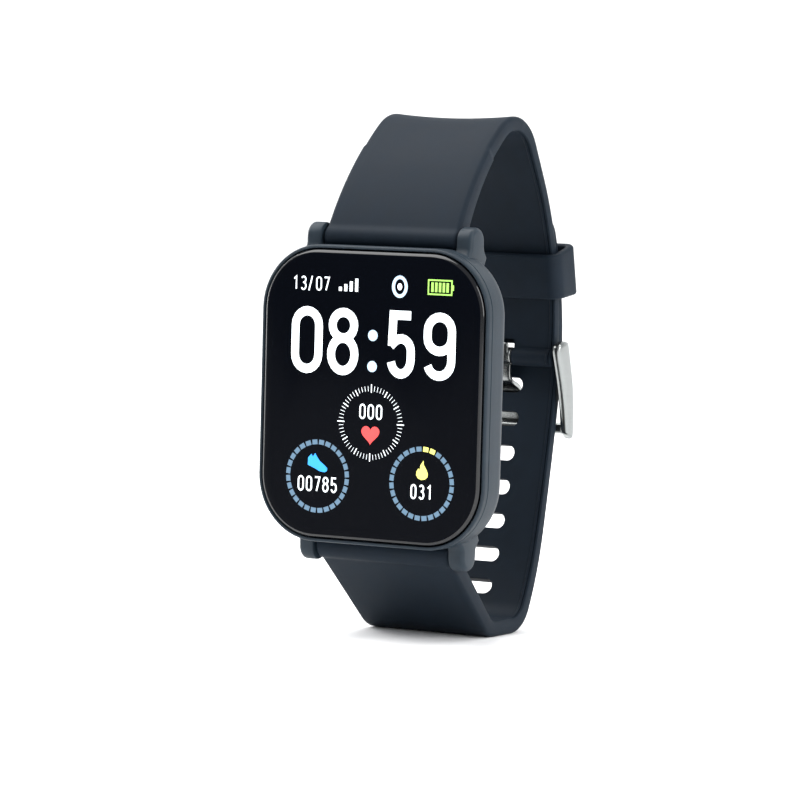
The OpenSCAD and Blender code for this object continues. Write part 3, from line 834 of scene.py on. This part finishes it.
BUCKLE_W, ARM_T, BUCKLE_BAR_R = 23.6, 1.55, 0.85
EYE_R, ARM_MID_R, ARM_END_R = 1.85, 1.6, 1.05
TONGUE_W, TONGUE_T, BARREL_R = 5.2, 0.8, 1.3
OUTER_BAR = beside(along(TAIL_TIP, LOWER_RUN, SLOT_S + 5.85), LAP_T / 2 + 0.15 + BUCKLE_BAR_R)


def sweep(line, half_a, half_b, power=2.6, n=20, across=0.0):
    """Skins superellipse sections along a side-view line of (y, z) points. half_a lies in the side view."""
    rows = []
    for k, (y, z) in enumerate(line):
        y0, z0 = line[max(0, k - 1)]
        y1, z1 = line[min(len(line) - 1, k + 1)]
        d = hypot(y1 - y0, z1 - z0)
        ny, nz = -(z1 - z0) / d, (y1 - y0) / d
        row = []
        for j in range(n):
            a = 2 * pi * j / n
            c, s = cos(a), sin(a)
            u = half_a[k] * abs(c) ** (2 / power) * (1 if c >= 0 else -1)
            v = half_b[k] * abs(s) ** (2 / power) * (1 if s >= 0 else -1)
            row.append((across + v, y + ny * u, z + nz * u))
        rows.append(row)
    return loft(rows)


def curve(points, n):
    """A smooth line through a few points."""
    out = []
    for k in range(len(points) - 1):
        a, b, c, d = [Vector(points[min(max(k + j, 0), len(points) - 1)]) for j in (-1, 0, 1, 2)]
        for j in range(n):
            t = j / n
            bend = (2 * a - 5 * b + 4 * c - d) * t * t + (3 * b - a - 3 * c + d) * t ** 3
            q = 0.5 * (2 * b + (c - a) * t + bend)
            out.append((q.x, q.y))
    return out + [tuple(points[-1])]


def turned(centre, steps, n, cap=True):
    """A bar along X, as (x, radius) steps round a side-view centre."""
    y, z = centre
    turns = [2 * pi * k / n for k in range(n)]
    return loft([[(x, y + r * cos(a), z + r * sin(a)) for a in turns] for x, r in steps], cap)


def arm_half(k, count):
    """Half the arm's width: a round eye at the pin, then a taper to the outer bar."""
    if k < 7:
        return max(0.05, EYE_R * sqrt(1 - (1 - k / 7) ** 2))
    if k < 14:
        return mix(EYE_R, ARM_MID_R, (k - 7) / 7)
    if k < count - 5:
        return mix(ARM_MID_R, ARM_END_R, (k - 14) / 9)
    return max(0.05, ARM_END_R * sqrt(max(0, 1 - ((k - count + 5) / 5) ** 2)))


def buckle_arms():
    away = Vector((OUTER_BAR[0] - PIN[0], OUTER_BAR[1] - PIN[1])).normalized()
    eye = (PIN[0] + 0.2, PIN[1] + 0.7)
    middle = ((PIN[0] + OUTER_BAR[0]) / 2 + 0.6, (PIN[1] + OUTER_BAR[1]) / 2 + 0.3)
    line = curve([(eye[0] - away.x * EYE_R, eye[1] - away.y * EYE_R), eye, middle, OUTER_BAR,
                  (OUTER_BAR[0] - 0.15, OUTER_BAR[1] - 1.08)], 7)
    count = len(line) - 1
    wide = [arm_half(k, count) for k in range(count + 1)]
    thick = [ARM_T / 2 * (0.35 + 0.65 * min(1, k / 3, (count - k) / 3)) for k in range(count + 1)]
    return [sweep(line, wide, thick, 3.2, 24, x * (BUCKLE_W - ARM_T) / 2) for x in (-1, 1)]


def outer_bar():
    end, neck = BUCKLE_W / 2 - 0.5, BUCKLE_W / 2 - 1.4
    return turned(OUTER_BAR, ((-end, 0.8), (-neck, 0.84), (0, BUCKLE_BAR_R), (neck, 0.84), (end, 0.8)), 24)


def tongue_blade():
    """Down from the barrel, out through the slot and down to the outer bar."""
    slot_at = along(TAIL_TIP, LOWER_RUN, SLOT_S)
    inner, outer = beside(slot_at, -LAP_T / 2 - 0.3), beside(slot_at, LAP_T / 2 + 0.6)
    rest_y = OUTER_BAR[0] + BUCKLE_BAR_R + 0.05 + TONGUE_T / 2
    run_down = (mix(outer[0], rest_y, 0.6), mix(outer[1], OUTER_BAR[1], 0.45))
    line = curve([(PIN[0], PIN[1] - 0.95), (PIN[0] + 0.1, slot_at[1] + 1.6), (inner[0], inner[1] + 0.5),
                  (outer[0], outer[1] - 0.3), run_down, (rest_y, OUTER_BAR[1] + 0.5),
                  (rest_y, OUTER_BAR[1] - 0.7)], 5)
    last = len(line) - 1
    thick = [TONGUE_T / 2] * (last + 1)
    thick[0] = thick[last] = TONGUE_T / 2 * 0.45
    thick[1] = thick[last - 1] = TONGUE_T / 2 * 0.8
    wide = [TONGUE_W / 2] * (last + 1)
    wide[last - 1] = TONGUE_W / 2 * 0.97
    wide[last] = TONGUE_W / 2 * 0.9
    return sweep(line, thick, wide, 6, 40)


def tongue_barrel():
    half, edge = 2.9, 0.12
    steps = ((-half, 0.8), (-half, BARREL_R - edge), (edge - half, BARREL_R),
             (half - edge, BARREL_R), (half, BARREL_R - edge), (half, 0.8))
    return turned(PIN, steps, 32, cap=False)


def tongue_heel():
    y = PIN[0] - 0.95
    line = [(y, PIN[1] + high) for high in (0.2, 1.0, 1.8, 2.0)]
    return sweep(line, [0.35, 0.35, 0.35, 0.2], [2.6, 2.6, 2.55, 2.4], 5, 28)


piece("buckle_bow", *joined(buckle_arms() + [outer_bar()]), ["buckle"], "buckle_frame", "buckle",
      ["buckle_frame"], angle=50)
piece("buckle_prong", *joined([tongue_blade(), tongue_barrel(), tongue_heel()]), ["buckle"],
      "buckle_tongue", "buckle", ["buckle_tongue"], angle=45)


# ---- Carried-over nodes: one material for each slot

LOOKS = {
    "seal": "seal", "display": "display", "flex": "flex", "inner_plastic": "inner", "board": "board",
    "chip": "chip", "shield": "shield", "steel": "steel", "gold": "gold", "battery": "battery",
    "tungsten": "tungsten", "back_plastic": "back", "led": "led", "window": "lens", "magnet": "shield",
    "silicone": "silicone", "buckle": "buckle", "case": "case", "glass": "glass"
}
slot_of = {p["node"]: p["material_slot"] for p in frame["record"]["subparts"]}
for node, ob in frame["nodes"].items():
    ob.data.materials.clear()
    ob.data.materials.append(M[LOOKS[slot_of[node]]])


# ---- Stage

def floor():
    """A flat sheet of paper that curves up into the backdrop."""
    flat_end, curve_r = 0.9, 0.5
    profile = [(-6, 0), (-0.55, 0), (0.0, 0), (0.5, 0), (flat_end, 0)]
    for a in range(10, 91, 10):
        profile.append((flat_end + curve_r * sin(radians(a)), curve_r - curve_r * cos(radians(a))))
    profile.append((flat_end + curve_r, 1.4))
    columns = (-6, -0.6, 0, 0.6, 6)
    n = len(columns)
    verts = [(x, y, z) for y, z in profile for x in columns]
    faces = []
    for a in range(len(profile) - 1):
        for k in range(n - 1):
            faces.append((a * n + k, a * n + k + 1, a * n + k + n + 1, a * n + k + n))
    ob = flat_object("floor", verts, faces)
    ob.data.shade_smooth()
    ob.data.materials.append(material("floor_paper", (248, 248, 248), 0.9, vary=0.006, scale=8, spec=0.1))


def area(name, place, target, size, power):
    data = bpy.data.lights.new(name, "AREA")
    data.shape = "RECTANGLE"
    data.size, data.size_y = size
    data.energy = power
    ob = bpy.data.objects.new(name, data)
    bpy.context.scene.collection.objects.link(ob)
    ob.location = place
    ob.rotation_euler = (Vector(target) - Vector(place)).to_track_quat("-Z", "Y").to_euler()


def studio():
    world = bpy.data.worlds.new("studio")
    bpy.context.scene.world = world
    world.use_nodes = True
    sky = world.node_tree.nodes["Background"]
    sky.inputs["Color"].default_value = (0.95, 0.97, 1.0, 1)
    sky.inputs["Strength"].default_value = 0.55
    middle = (0, 0, 0.038)
    area("key", (-0.35, -0.25, 0.75), middle, (0.7, 0.7), 7)
    area("right", (0.75, -0.1, 0.35), middle, (0.5, 0.6), 5)
    area("left", (-0.7, 0.2, 0.25), middle, (0.3, 0.6), 4)
    area("backdrop", (0, 0.3, 1.1), (0, 1.1, 0.2), (1.6, 0.5), 16)


def camera():
    """Looks down on the case from its right, a little rolled, through a long lens."""
    az, el, roll = radians(30.06), radians(3.56), radians(1.51)
    look = Vector((-sin(az) * cos(el), cos(az) * cos(el), -sin(el)))
    right = Vector((cos(az), sin(az), 0))
    up = right.cross(look)
    cam_x = cos(roll) * right + sin(roll) * up
    cam_y = -sin(roll) * right + cos(roll) * up
    data = bpy.data.cameras.new("camera")
    data.sensor_width = 36
    data.lens = 188.55
    data.clip_start = 0.01
    data.clip_end = 20
    ob = bpy.data.objects.new("camera", data)
    bpy.context.scene.collection.objects.link(ob)
    place = Vector(at(5.03, 0, -0.19)) - look * 0.5974
    turn = Matrix((cam_x, cam_y, -look)).transposed().to_4x4()
    ob.matrix_world = Matrix.Translation(place) @ turn
    bpy.context.scene.camera = ob


floor()
studio()
camera()
bpy.context.scene.view_settings.view_transform = "Standard"
